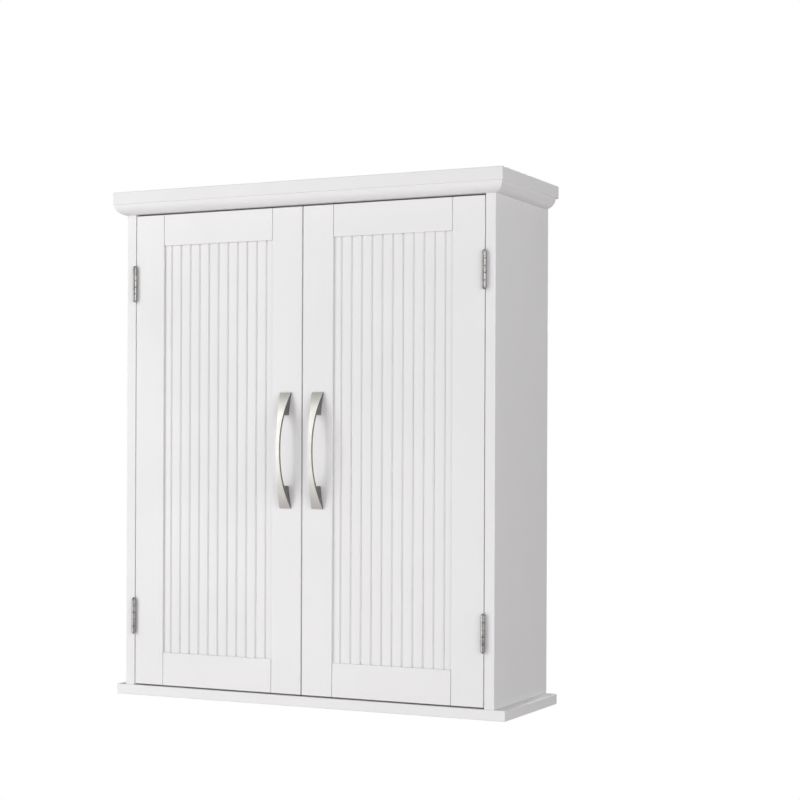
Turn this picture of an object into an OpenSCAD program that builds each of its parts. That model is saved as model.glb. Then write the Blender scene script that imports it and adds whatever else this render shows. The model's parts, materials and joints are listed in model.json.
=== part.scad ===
// Hanging wall cabinet: two inset bead-board doors, a moulded crown and one adjustable shelf.
// Units are millimetres. +Z is up, the doors face -Y and the wall is the plane Y = 0.
// The origin is the middle of the four wall-fixing holes, on the wall plane.
// Each side feature is written once for the right-hand side (+X) and mirrored for the left.

/* [Overall] */
// Width over the crown board and the base board
overall_w = 508; // [420:1:760]
// Depth of the crown board, measured from the wall
overall_d = 178; // [140:1:320]
// Height from the underside of the base to the top of the crown
overall_h = 610; // [480:1:900]

/* [Carcass boards] */
// Thickness of the sides, the top panel and the hanging rails
board_t = 12; // [12:0.5:20]
// Thickness of the base board
base_t = 12; // [9:0.5:20]
// Thickness of the crown board
crown_t = 15; // [12:0.5:25]
// How far the crown and the base stand out past the sides
overhang = 13; // [12.5:0.5:25]
// Thickness of the back panel
back_t = 3; // [3:0.5:6]
// How far the back panel laps onto each side panel
rebate_w = 6; // [4:0.5:8]
// Height of the upper hanging rail
upper_rail_h = 60; // [40:1:90]
// Height of the lower hanging rail
lower_rail_h = 40; // [30:1:70]

/* [Crown moulding] */
// Height of the moulding under the crown board
moulding_h = 12; // [8:0.5:12]
// How far the moulding stands out from the carcass
moulding_w = 12; // [6:0.1:12]
// How far the side mouldings stop short of the wall
moulding_end_gap = 8; // [0:0.5:20]

/* [Doors] */
// Thickness of the door frame
door_t = 15; // [14:0.5:20]
// Gap above and below each door
door_gap_end = 1.8; // [1.5:0.1:4]
// Gap between a door and its side panel
door_gap_side = 1; // [1:0.1:2.2]
// Gap between the two doors
door_gap_middle = 1.5; // [1.5:0.1:4]
// Width of every stile
stile_w = 39; // [32:1:60]
// Height of the top rails
top_rail_h = 37.5; // [30:0.5:60]
// Height of the bottom rails
bottom_rail_h = 39.5; // [30:0.5:60]
// Depth of the groove that holds the panel, and length of the tongues on the rails
tongue = 6; // [4:0.5:8]
// Room left for the panel at the bottom of its groove
panel_play = 1; // [0.5:0.1:2]

/* [Bead-board panels] */
// Thickness of the panel
panel_t = 6; // [5:0.5:7]
// How far the face of the panel lies behind the face of the frame
panel_setback = 2.8; // [2:0.1:5]
// Distance from one bead groove to the next
bead_pitch = 13; // [9:0.1:40]
// Width of a bead groove at the face
bead_groove_w = 2.8; // [1.5:0.1:4]
// Depth of a bead groove
bead_groove_d = 2; // [0.8:0.1:2.5]
// Least distance from the edge of the opening to the middle of the first groove
bead_margin = 6; // [4:0.5:12]

/* [Hinges] */
// Length of the barrel without its end caps
hinge_len = 40; // [32:1:60]
// Number of knuckles, an odd number
knuckle_count = 5; // [3:2:7]
// Radius of the barrel
barrel_r = 2.5; // [2.2:0.1:3.5]
// Radius of the pin
pin_r = 1.1; // [0.9:0.05:1.4]
// Distance from each end of the door to the middle of the nearer hinge
hinge_inset = 82.5; // [50:0.5:120]
// Thickness of a leaf
leaf_t = 1; // [0.9:0.1:1.5]
// Depth of a leaf, from the front of the door towards its back
leaf_w = 12; // [10:0.5:13]

/* [Handles] */
// Overall length of a handle
handle_len = 135; // [110:1:180]
// Distance from the meeting edge of the door to the middle of the handle
handle_inset = 20.25; // [14:0.25:30]
// How far the bow stands out from the door
handle_out = 21; // [18:0.5:30]
// Thickness of the handle at its two ends
handle_edge_t = 1.5; // [1:0.1:3]
// Width of the handle at its ends
handle_end_w = 14; // [12:0.5:20]
// Width of the handle at its waist
handle_waist_w = 4.6; // [4:0.1:12]
// Length of the waist, before the handle widens
handle_waist_len = 24; // [0:1:40]
// Distance from the middle at which the handle reaches its full width
handle_taper = 65; // [50:0.5:65]
// Thickness of the bow
handle_strap_t = 3.4; // [2.5:0.1:5]
// Length of each solid foot
handle_foot = 26.5; // [24:0.5:30]
// Distance between the two handle screws
handle_screw_pitch = 96; // [80:1:128]

/* [Shelf] */
// Thickness of the shelf
shelf_t = 12; // [10:0.5:18]
// Gap between each end of the shelf and the side panel
shelf_gap = 1.5; // [1.2:0.1:3]
// Distance from the back of the doors to the front edge of the shelf
shelf_setback = 10; // [6:1:40]
// Number of rows of pin holes
pin_rows = 3; // [1:2:5]
// Distance between two rows of pin holes
pin_row_pitch = 50; // [25:1:64]
// Radius of a shelf pin
shelf_pin_r = 2.5; // [2:0.1:3]
// Distance from the shelf's front and back edges to the middle of a shelf pin
shelf_pin_inset = 28; // [15:1:50]

/* [Wall fixing] */
// Radius of a wall-fixing hole
fixing_r = 2.5; // [2:0.1:4]
// Distance from a side panel's inner face to the middle of a wall-fixing hole
fixing_inset = 25.8; // [15:0.1:60]

/* [Magnetic catches] */
// Distance from the middle of the cabinet to the middle of a catch
catch_x = 21; // [19:0.5:30]
// Height of a catch below the top panel
catch_h = 12; // [10:0.5:16]
// Width of a catch between its ears
catch_w = 18; // [14:0.5:24]
// Depth of a catch
catch_d = 13; // [11:0.5:18]
// Length of each ear
catch_ear = 9; // [7:0.5:12]
// Width of a strike plate
strike_w = 24; // [18:0.5:32]
// Height of a strike plate
strike_h = 11; // [9:0.5:16]
// Thickness of a strike plate
strike_t = 1.2; // [1:0.1:2]

/* [Fasteners] */
// Radius of a dowel
dowel_r = 3; // [2.5:0.5:4]
// Length of a dowel inside the side panel
dowel_in = 8; // [6:0.5:9]
// Length of a dowel inside the other board
dowel_out = 16; // [12:1:20]
// Radius of a cam lock
cam_r = 6; // [5:0.5:7.5]
// Distance from the end of the top panel to the middle of a cam lock
cam_setback = 24; // [18:1:34]
// Shank radius of the screws that hold the base and the crown
board_screw_r = 2; // [1.5:0.1:2.5]
// Length of a base screw
base_screw_len = 40; // [30:1:60]
// Shank radius of the small screws in the hinges, catches and strike plates
small_screw_r = 1.25; // [1:0.05:1.5]
// Length of a hinge leaf screw
leaf_screw_len = 10; // [8:0.5:10]
// Radius of a handle screw
handle_screw_r = 2; // [1.6:0.1:2]
// Number of nails along each side of the back panel, from one row of fixing holes to the other
side_nails = 5; // [3:1:8]
// Number of nails along each hanging rail
rail_nails = 3; // [2:1:6]

/* [Clearances] */
// Radial clearance of a hinge pin in its knuckles
pin_fit = 0.05; // [0.02:0.01:0.1]
// Radial clearance of a screw, nail, dowel or shelf pin in its hole
hole_fit = 0.05; // [0.02:0.01:0.2]
// Room left past the end of a fastener in a blind hole
hole_room = 0.5; // [0.3:0.1:1.5]
// Gap between the parts of a hinge that pass each other
hinge_clear = 0.3; // [0.25:0.05:0.5]
// Gap between a catch's pole plates and the strike plate
catch_gap = 0.2; // [0.1:0.05:0.5]

/* [Hidden] */
$fn = 48;

// Carcass, seen from the front
body_w = overall_w - 2 * overhang;
body_d = overall_d - overhang;
inner_x = body_w / 2 - board_t;
front_y = -body_d;
mid_y = front_y / 2;
rail_back_y = -back_t;
rail_front_y = -back_t - board_t;
rail_y = (rail_back_y + rail_front_y) / 2;

// Heights, with the origin half-way between the two rows of wall-fixing holes
lower_hole_h = base_t + lower_rail_h / 2;
upper_hole_h = overall_h - crown_t - board_t - upper_rail_h / 2;
bottom_z = -(lower_hole_h + upper_hole_h) / 2;
floor_z = bottom_z + base_t;
top_z = bottom_z + overall_h;
crown_z = top_z - crown_t;
ceiling_z = crown_z - board_t;
lower_rail_z = floor_z + lower_rail_h;
upper_rail_z = ceiling_z - upper_rail_h;
fixing_x = inner_x - fixing_inset;
fixing_z = [bottom_z + lower_hole_h, bottom_z + upper_hole_h];

// Moulding: a convex arc that leaves the crown upright and ends on the carcass
moulding_r = (pow(moulding_w, 2) + pow(moulding_h, 2)) / (2 * moulding_w);

// Right-hand door
door_x0 = door_gap_middle / 2;
door_x1 = inner_x - door_gap_side;
door_z0 = floor_z + door_gap_end;
door_z1 = ceiling_z - door_gap_end;
door_mid_z = (door_z0 + door_z1) / 2;
door_back_y = front_y + door_t;
lock_x = door_x0 + stile_w;
hinge_stile_x = door_x1 - stile_w;
open_z0 = door_z0 + bottom_rail_h;
open_z1 = door_z1 - top_rail_h;
panel_y = front_y + panel_setback;
panel_lap = tongue - panel_play;
bead_half_room = (hinge_stile_x - lock_x) / 2 - bead_margin;
beads_each_side = floor(bead_half_room / bead_pitch);

// Hinges
hinge_x = inner_x - door_gap_side / 2;
hinge_y = front_y - barrel_r - hinge_clear;
hinge_z = [door_z0 + hinge_inset, door_z1 - hinge_inset];
knuckle_pitch = (hinge_len + hinge_clear) / knuckle_count;
knuckle_h = knuckle_pitch - hinge_clear;
leaf_y = barrel_r + hinge_clear;
leaf_screw_z = hinge_len * 0.3;
leaf_screw_head_r = small_screw_r * 1.7;
cap_h = 2.2;

// Handles
handle_x = door_x0 + handle_inset;
handle_half = handle_len / 2;
handle_rise = handle_out - handle_edge_t;
handle_bow_r = (pow(handle_half, 2) + pow(handle_rise, 2)) / (2 * handle_rise);
handle_side_cut = (handle_end_w - handle_waist_w) / 2;
handle_flare = handle_taper - handle_waist_len / 2;
handle_side_r = (pow(handle_flare, 2) + pow(handle_side_cut, 2)) / (2 * handle_side_cut);
handle_thread = 8;
handle_head_r = 4;
handle_head_h = 2.4;

// Shelf and its pins
shelf_pin_in = 8;
shelf_pin_out = 9;
shelf_flat = shelf_pin_r * 0.8;
collar_r = shelf_pin_r + 1;
collar_t = 0.8;
shelf_mid_z = (floor_z + ceiling_z) / 2;
shelf_z = shelf_mid_z - shelf_t / 2;
shelf_pin_z = shelf_z - shelf_flat;
shelf_back_y = rail_back_y - 1;
shelf_front_y = door_back_y + shelf_setback;
shelf_pin_y = [shelf_back_y - shelf_pin_inset, shelf_front_y + shelf_pin_inset];

// Catches
pole_out = 0.6;
pole_t = 1;
magnet_t = 5;
magnet_w = catch_w - 4;
catch_y = door_back_y + strike_t + catch_gap + pole_out;
pocket_d = catch_d - 3;
catch_mid_z = ceiling_z - catch_h / 2;
ear_t = 3;
catch_screw_len = 10;
catch_head_h = 1.4;
catch_head_r = 2.4;
strike_z1 = door_z1 - 1;
strike_screw_len = 9;

// Cam fittings
cam_y = [mid_y - body_d * 0.28, mid_y + body_d * 0.28];
cam_depth = board_t - 2.5;
cam_bolt_in = 8;
cam_bolt_r = 2.5;
cam_neck_r = 1.7;
cam_head_r = 2.4;
cam_head_len = 2;

// Screws and nails
base_screw_y = [front_y + 22, mid_y, -22];
base_screw_x = inner_x + board_t / 2;
crown_screw_x = inner_x * 0.7;
crown_screw_y = [front_y + 30, -30];
crown_screw_len = board_t + crown_t - 4;
board_head_r = board_screw_r * 2;
nail_r = 0.7;
nail_head_r = 1.8;
nail_head_t = 0.6;
nail_len = 14;
nail_x = inner_x + rebate_w / 2;
nail_step = (fixing_z[1] - fixing_z[0]) / (side_nails - 1);
rail_nail_x = fixing_x * 0.5;

// ---------------------------------------------------------------- helpers

// A board between two values on each axis
module board(x, y, z) {
    translate([x[0], y[0], z[0]])
        cube([x[1] - x[0], y[1] - y[0], z[1] - z[0]]);
}

// The mirror image across the middle of the cabinet
module left() {
    mirror([1, 0, 0])
        children();
}

// Both the right-hand copy and its mirror image
module both_sides() {
    children();
    left()
        children();
}

// Turns a fastener that points up so that it points along +X
module point_right() {
    rotate([0, 90, 0])
        children();
}

// The same, along -X
module point_left() {
    rotate([0, -90, 0])
        children();
}

// The same, along -Y
module point_front() {
    rotate([90, 0, 0])
        children();
}

// A countersunk screw: its head is flush at Z = 0 and its point is up
module flush_screw(r, length, head_r, recess = true) {
    head_h = head_r - r;
    tip = 2 * r;
    difference() {
        union() {
            cylinder(r1 = head_r, r2 = r, h = head_h, $fn = 24);
            cylinder(r = r, h = length - tip, $fn = 24);
            translate([0, 0, length - tip])
                cylinder(r1 = r, r2 = r * 0.2, h = tip, $fn = 24);
        }
        if (recess)
            cross_recess(head_r * 1.2, head_h * 0.6);
    }
}

// The hole that a flush screw sits in
module flush_hole(r, length, head_r) {
    grow = hole_fit;
    cylinder(r1 = head_r + grow, r2 = r + grow, h = head_r - r, $fn = 24);
    translate([0, 0, -1])
        cylinder(r = head_r + grow, h = 1, $fn = 24);
    cylinder(r = r + grow, h = length + hole_room, $fn = 24);
}

// A screw with a domed head below Z = 0 and a plain shank above it
module head_screw(r, length, head_r, head_h) {
    difference() {
        union() {
            cylinder(r = r, h = length, $fn = 24);
            translate([0, 0, -head_h / 2])
                cylinder(r = head_r, h = head_h / 2, $fn = 32);
            translate([0, 0, -head_h])
                cylinder(r1 = head_r * 0.7, r2 = head_r, h = head_h / 2, $fn = 32);
        }
        translate([0, 0, -head_h])
            cross_recess(head_r * 0.9, head_h * 0.5);
    }
}

// The cross that a screwdriver turns, cut upwards from Z = 0
module cross_recess(span, depth) {
    slot = span * 0.22;
    for (turn = [0, 90])
        rotate([0, 0, turn])
            translate([-span / 2, -slot / 2, -1])
                cube([span, slot, depth + 1]);
}

// ---------------------------------------------------------------- fastener places

module at_dowels() {
    places = [
        [mid_y, ceiling_z + board_t / 2],
        [rail_y, upper_rail_z + upper_rail_h * 0.25],
        [rail_y, upper_rail_z + upper_rail_h * 0.75],
        [rail_y, floor_z + lower_rail_h * 0.25],
        [rail_y, floor_z + lower_rail_h * 0.75]
    ];
    for (p = places)
        translate([inner_x, p[0], p[1]])
            point_left()
                children();
}

module at_cam_bolts() {
    for (y = cam_y)
        translate([inner_x, y, ceiling_z + board_t / 2])
            point_left()
                children();
}

module at_cam_locks() {
    for (y = cam_y)
        translate([inner_x - cam_setback, y, ceiling_z])
            children();
}

module at_base_screws() {
    for (y = base_screw_y)
        translate([base_screw_x, y, bottom_z])
            children();
}

module at_crown_screws() {
    for (x = [-crown_screw_x, crown_screw_x], y = crown_screw_y)
        translate([x, y, ceiling_z])
            children();
}

module at_side_nails() {
    for (i = [0 : side_nails - 1])
        translate([nail_x, 0, fixing_z[0] + i * nail_step])
            point_front()
                children();
}

module at_rail_nails() {
    for (i = [0 : rail_nails - 1], z = fixing_z)
        translate([rail_nail_x * (2 * i / (rail_nails - 1) - 1), 0, z])
            point_front()
                children();
}

module at_fixing_holes() {
    for (x = [-fixing_x, fixing_x], z = fixing_z)
        translate([x, 0, z])
            point_front()
                children();
}

module at_shelf_pin_holes() {
    rows = [for (i = [0 : pin_rows - 1]) i - (pin_rows - 1) / 2];
    for (row = rows, y = shelf_pin_y)
        translate([inner_x, y, shelf_pin_z + row * pin_row_pitch])
            point_right()
                children();
}

module at_leaf_screws() {
    for (z = [-leaf_screw_z, leaf_screw_z])
        translate([leaf_gap() / 2, leaf_y + leaf_w / 2, z])
            point_right()
                children();
}

module at_hinges() {
    for (z = hinge_z)
        translate([hinge_x, hinge_y, z])
            children();
}

module at_handle_screws() {
    for (z = [-handle_screw_pitch / 2, handle_screw_pitch / 2])
        translate([handle_x, door_back_y, door_mid_z + z])
            point_front()
                children();
}

module at_catch_screws() {
    for (x = [-1, 1])
        translate([catch_x + x * (catch_w + catch_ear) / 2, catch_y + catch_d / 2, ceiling_z - ear_t])
            children();
}

module at_strike_screw() {
    translate([catch_x, door_back_y + strike_t, strike_z1 - strike_h / 2])
        point_front()
            children();
}

// ---------------------------------------------------------------- carcass

module side_panel() {
    color("white")
        difference() {
            board([inner_x, inner_x + board_t], [front_y, 0], [floor_z, crown_z]);
            board([inner_x - 1, inner_x + rebate_w], [-back_t, 1], [floor_z - 1, crown_z + 1]);
            at_dowels()
                dowel_hole();
            at_cam_bolts()
                translate([0, 0, -cam_bolt_in - hole_room])
                    cylinder(r = cam_bolt_r + hole_fit, h = cam_bolt_in + hole_room + 1);
            at_shelf_pin_holes()
                translate([0, 0, -1])
                    cylinder(r = shelf_pin_r + hole_fit, h = shelf_pin_in + hole_room + 1);
            at_base_screws()
                flush_hole(board_screw_r, base_screw_len, board_head_r);
            at_side_nails()
                nail_hole();
            at_hinges() {
                leaf_mortise();
                at_leaf_screws()
                    flush_hole(small_screw_r, leaf_screw_len, leaf_screw_head_r);
            }
        }
}

module base_board() {
    color("white")
        difference() {
            board([-overall_w / 2, overall_w / 2], [front_y, 0], [bottom_z, floor_z]);
            both_sides()
                at_base_screws()
                    flush_hole(board_screw_r, base_screw_len, board_head_r);
        }
}

module top_panel() {
    color("white")
        difference() {
            board([-inner_x, inner_x], [front_y, -back_t], [ceiling_z, crown_z]);
            both_sides() {
                at_dowels()
                    dowel_hole();
                at_cam_bolts()
                    cylinder(r = cam_bolt_r + hole_fit, h = cam_setback);
                at_cam_locks()
                    translate([0, 0, -1])
                        cylinder(r = cam_r + hole_fit, h = cam_depth + 1);
                at_catch_screws()
                    cylinder(r = small_screw_r + hole_fit, h = catch_screw_len + hole_room);
            }
            at_crown_screws()
                flush_hole(board_screw_r, crown_screw_len, board_head_r);
        }
}

module crown_board() {
    color("white")
        difference() {
            board([-overall_w / 2, overall_w / 2], [-overall_d, 0], [crown_z, top_z]);
            at_crown_screws()
                flush_hole(board_screw_r, crown_screw_len, board_head_r);
        }
}

// Section of the moulding: X stands out from the carcass, Y is height below the crown
module moulding_section() {
    intersection() {
        translate([0, -moulding_h])
            square([moulding_w, moulding_h]);
        translate([moulding_w - moulding_r, 0])
            circle(r = moulding_r, $fn = 96);
    }
}

// The part of a corner that belongs to the front length, cut at 45 degrees
module front_mitre() {
    corner_x = body_w / 2;
    reach = 2 * moulding_w;
    translate([0, 0, crown_z - moulding_h - 1])
        linear_extrude(moulding_h + 2)
            polygon([
                [-corner_x, front_y], [corner_x, front_y],
                [corner_x + reach, front_y - reach], [-corner_x - reach, front_y - reach]
            ]);
}

module crown_moulding_front() {
    half = body_w / 2 + moulding_w;
    color("white")
        intersection() {
            translate([-half, front_y, crown_z])
                rotate([90, 0, 90])
                    linear_extrude(2 * half)
                        mirror([1, 0])
                            moulding_section();
            front_mitre();
        }
}

module crown_moulding_side() {
    color("white")
        difference() {
            translate([body_w / 2, -moulding_end_gap, crown_z])
                rotate([90, 0, 0])
                    linear_extrude(body_d + moulding_w - moulding_end_gap)
                        moulding_section();
            front_mitre();
        }
}

module back_panel() {
    color("tan")
        difference() {
            board([-inner_x - rebate_w, inner_x + rebate_w], [-back_t, 0], [floor_z, crown_z]);
            at_fixing_holes()
                fixing_hole();
            both_sides()
                at_side_nails()
                    nail_hole();
            at_rail_nails()
                nail_hole();
        }
}

// A hanging rail between two heights
module hanging_rail(z) {
    color("white")
        difference() {
            board([-inner_x, inner_x], [rail_front_y, rail_back_y], z);
            at_fixing_holes()
                fixing_hole();
            both_sides()
                at_dowels()
                    dowel_hole();
            at_rail_nails()
                nail_hole();
        }
}

module fixing_hole() {
    translate([0, 0, -1])
        cylinder(r = fixing_r, h = back_t + board_t + 2);
}

// ---------------------------------------------------------------- carcass fasteners

module dowel() {
    translate([0, 0, -dowel_in])
        cylinder(r = dowel_r, h = dowel_in + dowel_out, $fn = 24);
}

module dowel_hole() {
    translate([0, 0, -dowel_in - hole_room])
        cylinder(r = dowel_r + hole_fit, h = dowel_in + dowel_out + 2 * hole_room, $fn = 24);
}

module dowels() {
    color("burlywood")
        both_sides()
            at_dowels()
                dowel();
}

// A bolt that is screwed into the side and whose head is held by a cam lock
module cam_bolt() {
    neck = cam_setback - cam_head_len / 2;
    translate([0, 0, -cam_bolt_in])
        cylinder(r = cam_bolt_r, h = cam_bolt_in, $fn = 24);
    cylinder(r = cam_neck_r, h = neck, $fn = 24);
    translate([0, 0, neck])
        cylinder(r = cam_head_r, h = cam_head_len, $fn = 24);
}

module cam_bolts() {
    color("silver")
        both_sides()
            at_cam_bolts()
                cam_bolt();
}

// A drum with a pocket for the bolt's head and a slot for its neck
module cam_lock() {
    axis_h = board_t / 2;
    difference() {
        cylinder(r = cam_r, h = cam_depth);
        translate([0, 0, axis_h])
            point_right()
                cylinder(r = cam_neck_r + 0.3, h = cam_r + 1);
        translate([0, 0, axis_h])
            cylinder(r = cam_head_r + 0.6, h = 2 * cam_head_r + 0.8, center = true);
        cross_recess(cam_r, 1.4);
    }
}

module cam_locks() {
    color("gray")
        both_sides()
            at_cam_locks()
                cam_lock();
}

module base_screws() {
    color("silver")
        both_sides()
            at_base_screws()
                flush_screw(board_screw_r, base_screw_len, board_head_r);
}

module crown_screws() {
    color("silver")
        at_crown_screws()
            flush_screw(board_screw_r, crown_screw_len, board_head_r);
}

module nail() {
    cylinder(r = nail_head_r, h = nail_head_t, $fn = 20);
    cylinder(r = nail_r, h = nail_len, $fn = 16);
}

module nail_hole() {
    translate([0, 0, -1])
        cylinder(r = nail_head_r + hole_fit, h = nail_head_t + 1, $fn = 20);
    cylinder(r = nail_r + hole_fit, h = nail_len + hole_room, $fn = 16);
}

module back_panel_nails() {
    color("silver") {
        both_sides()
            at_side_nails()
                nail();
        at_rail_nails()
            nail();
    }
}

// ---------------------------------------------------------------- shelf

module shelf() {
    half = inner_x - shelf_gap;
    color("white")
        board([-half, half], [shelf_front_y, shelf_back_y], [shelf_z, shelf_z + shelf_t]);
}

// A peg with a collar at the side panel and a flat on which the shelf rests
module shelf_pin() {
    difference() {
        union() {
            translate([0, 0, -shelf_pin_out])
                cylinder(r = shelf_pin_r, h = shelf_pin_out + shelf_pin_in);
            translate([0, 0, -collar_t])
                cylinder(r = collar_r, h = collar_t);
        }
        translate([-2 * shelf_pin_r - shelf_flat, -shelf_pin_r, -shelf_pin_out - 1])
            cube([2 * shelf_pin_r, 2 * shelf_pin_r, shelf_pin_out - collar_t + 1]);
    }
}

module shelf_pins() {
    color("silver")
        both_sides()
            for (y = shelf_pin_y)
                translate([inner_x, y, shelf_pin_z])
                    point_right()
                        shelf_pin();
}

// ---------------------------------------------------------------- hinges

// Space between the two leaves of a closed hinge
function leaf_gap() = hinge_clear;

// One leaf at the hinge axis. The plate lies on the +X side; first picks its knuckles.
module hinge_leaf(first) {
    difference() {
        union() {
            translate([leaf_gap() / 2, leaf_y, -hinge_len / 2])
                cube([leaf_t, leaf_w, hinge_len]);
            for (k = [first : 2 : knuckle_count - 1])
                translate([0, 0, -hinge_len / 2 + k * knuckle_pitch])
                    knuckle();
        }
        cylinder(r = pin_r + pin_fit, h = hinge_len + 2, center = true);
        at_leaf_screws()
            flush_hole(small_screw_r, leaf_screw_len, leaf_screw_head_r);
    }
}

module knuckle() {
    cylinder(r = barrel_r, h = knuckle_h);
    translate([leaf_gap() / 2, 0, 0])
        cube([leaf_t, leaf_y + leaf_w / 4, knuckle_h]);
}

// The recess for a leaf in the board on the +X side
module leaf_mortise() {
    translate([leaf_gap() / 2, leaf_y - 1, -hinge_len / 2])
        cube([leaf_t, leaf_w + 1, hinge_len]);
}

module frame_leaf(z) {
    color("silver")
        translate([hinge_x, hinge_y, z])
            hinge_leaf(0);
}

module door_leaf(z) {
    color("silver")
        translate([hinge_x, hinge_y, z])
            mirror([1, 0, 0])
                hinge_leaf(1);
}

module hinge_pin(z) {
    color("silver")
        translate([hinge_x, hinge_y, z]) {
            cylinder(r = pin_r, h = hinge_len, center = true);
            for (turn = [0, 180])
                rotate([turn, 0, 0])
                    translate([0, 0, hinge_len / 2])
                        pin_cap();
        }
}

module pin_cap() {
    cylinder(r = barrel_r * 0.9, h = cap_h * 0.35);
    translate([0, 0, cap_h * 0.35])
        cylinder(r1 = barrel_r * 0.9, r2 = barrel_r * 0.35, h = cap_h * 0.65);
}

module frame_leaf_screws() {
    color("silver")
        both_sides()
            at_hinges()
                at_leaf_screws()
                    flush_screw(small_screw_r, leaf_screw_len, leaf_screw_head_r);
}

module door_leaf_screws() {
    color("silver")
        at_hinges()
            mirror([1, 0, 0])
                at_leaf_screws()
                    flush_screw(small_screw_r, leaf_screw_len, leaf_screw_head_r);
}

// ---------------------------------------------------------------- magnetic catches

module catch_housing() {
    pocket_h = magnet_t + 2 * pole_t;
    color("white")
        difference() {
            union() {
                board([catch_x - catch_w / 2, catch_x + catch_w / 2],
                      [catch_y, catch_y + catch_d], [ceiling_z - catch_h, ceiling_z]);
                board([catch_x - catch_w / 2 - catch_ear, catch_x + catch_w / 2 + catch_ear],
                      [catch_y, catch_y + catch_d], [ceiling_z - ear_t, ceiling_z]);
            }
            board([catch_x - magnet_w / 2, catch_x + magnet_w / 2], [catch_y - 1, catch_y + pocket_d],
                  [catch_mid_z - pocket_h / 2, catch_mid_z + pocket_h / 2]);
            at_catch_screws()
                translate([0, 0, -1])
                    cylinder(r = small_screw_r + hole_fit, h = catch_screw_len);
        }
}

module catch_magnet() {
    color("dimgray")
        board([catch_x - magnet_w / 2, catch_x + magnet_w / 2], [catch_y, catch_y + pocket_d],
              [catch_mid_z - magnet_t / 2, catch_mid_z + magnet_t / 2]);
}

module catch_pole_plates() {
    color("silver")
        both_sides()
            for (z = [catch_mid_z - magnet_t / 2 - pole_t, catch_mid_z + magnet_t / 2])
                board([catch_x - magnet_w / 2, catch_x + magnet_w / 2],
                      [catch_y - pole_out, catch_y + pocket_d], [z, z + pole_t]);
}

module catch_screws() {
    color("silver")
        both_sides()
            at_catch_screws()
                head_screw(small_screw_r, catch_screw_len, catch_head_r, catch_head_h);
}

module strike_plate() {
    color("silver")
        difference() {
            board([catch_x - strike_w / 2, catch_x + strike_w / 2],
                  [door_back_y, door_back_y + strike_t], [strike_z1 - strike_h, strike_z1]);
            at_strike_screw()
                flush_hole(small_screw_r, strike_screw_len, leaf_screw_head_r);
        }
}

module strike_screw() {
    color("silver")
        at_strike_screw()
            flush_screw(small_screw_r, strike_screw_len, leaf_screw_head_r);
}

// ---------------------------------------------------------------- doors

// The groove that holds the panel, between two values on X and on Z
module panel_groove(x, z) {
    board(x, [panel_y, panel_y + panel_t], z);
}

module hinge_stile() {
    color("white")
        difference() {
            board([hinge_stile_x, door_x1], [front_y, door_back_y], [door_z0, door_z1]);
            panel_groove([hinge_stile_x - 1, hinge_stile_x + tongue], [door_z0 - 1, door_z1 + 1]);
            at_hinges()
                mirror([1, 0, 0]) {
                    leaf_mortise();
                    at_leaf_screws()
                        flush_hole(small_screw_r, leaf_screw_len, leaf_screw_head_r);
                }
        }
}

module lock_stile() {
    color("white")
        difference() {
            board([door_x0, lock_x], [front_y, door_back_y], [door_z0, door_z1]);
            panel_groove([lock_x - tongue, lock_x + 1], [door_z0 - 1, door_z1 + 1]);
            at_handle_screws()
                translate([0, 0, -1])
                    cylinder(r = handle_screw_r + hole_fit, h = door_t + 2, $fn = 24);
            at_strike_screw()
                flush_hole(small_screw_r, strike_screw_len, leaf_screw_head_r);
        }
}

// A rail between two heights, with its panel groove between two others
module door_rail(z, groove_z) {
    color("white")
        difference() {
            union() {
                board([lock_x, hinge_stile_x], [front_y, door_back_y], z);
                panel_groove([lock_x - tongue, hinge_stile_x + tongue], z);
            }
            panel_groove([lock_x - tongue - 1, hinge_stile_x + tongue + 1], groove_z);
        }
}

module top_rail() {
    door_rail([open_z1, door_z1], [open_z1 - 1, open_z1 + tongue]);
}

module bottom_rail() {
    door_rail([door_z0, open_z0], [open_z0 - tongue, open_z0 + 1]);
}

module bead_panel() {
    mid_x = (lock_x + hinge_stile_x) / 2;
    z0 = open_z0 - panel_lap;
    z1 = open_z1 + panel_lap;
    color("white")
        difference() {
            board([lock_x - panel_lap, hinge_stile_x + panel_lap], [panel_y, panel_y + panel_t], [z0, z1]);
            for (i = [-beads_each_side : beads_each_side])
                translate([mid_x + i * bead_pitch, panel_y, z0 - 1])
                    linear_extrude(z1 - z0 + 2)
                        bead_section();
        }
}

// Section of a bead groove, cut back from the face of the panel
module bead_section() {
    polygon([[-bead_groove_w / 2, 0], [-bead_groove_w / 2, -1], [bead_groove_w / 2, -1],
             [bead_groove_w / 2, 0], [0, bead_groove_d]]);
}

// ---------------------------------------------------------------- handles

// Side view of the bow and its feet: X stands out from the door and Y is height
module handle_side_view() {
    bow_x = handle_out - handle_bow_r;
    inner = handle_half - handle_foot;
    difference() {
        intersection() {
            translate([bow_x, 0])
                circle(r = handle_bow_r, $fn = 180);
            translate([0, -handle_half])
                square([handle_out + 1, handle_len]);
        }
        intersection() {
            translate([bow_x, 0])
                circle(r = handle_bow_r - handle_strap_t, $fn = 180);
            translate([-1, -inner])
                square([handle_out + 1, 2 * inner]);
        }
    }
}

// Front view: straight ends that narrow along arcs to a straight waist
module handle_front_view() {
    difference() {
        square([handle_end_w, handle_len], center = true);
        for (side = [-1, 1]) {
            for (end = [-1, 1])
                translate([side * (handle_waist_w / 2 + handle_side_r), end * handle_waist_len / 2])
                    circle(r = handle_side_r, $fn = 180);
            translate([side * (handle_waist_w + handle_end_w) / 2, 0])
                square([handle_end_w, handle_waist_len], center = true);
        }
    }
}

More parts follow.
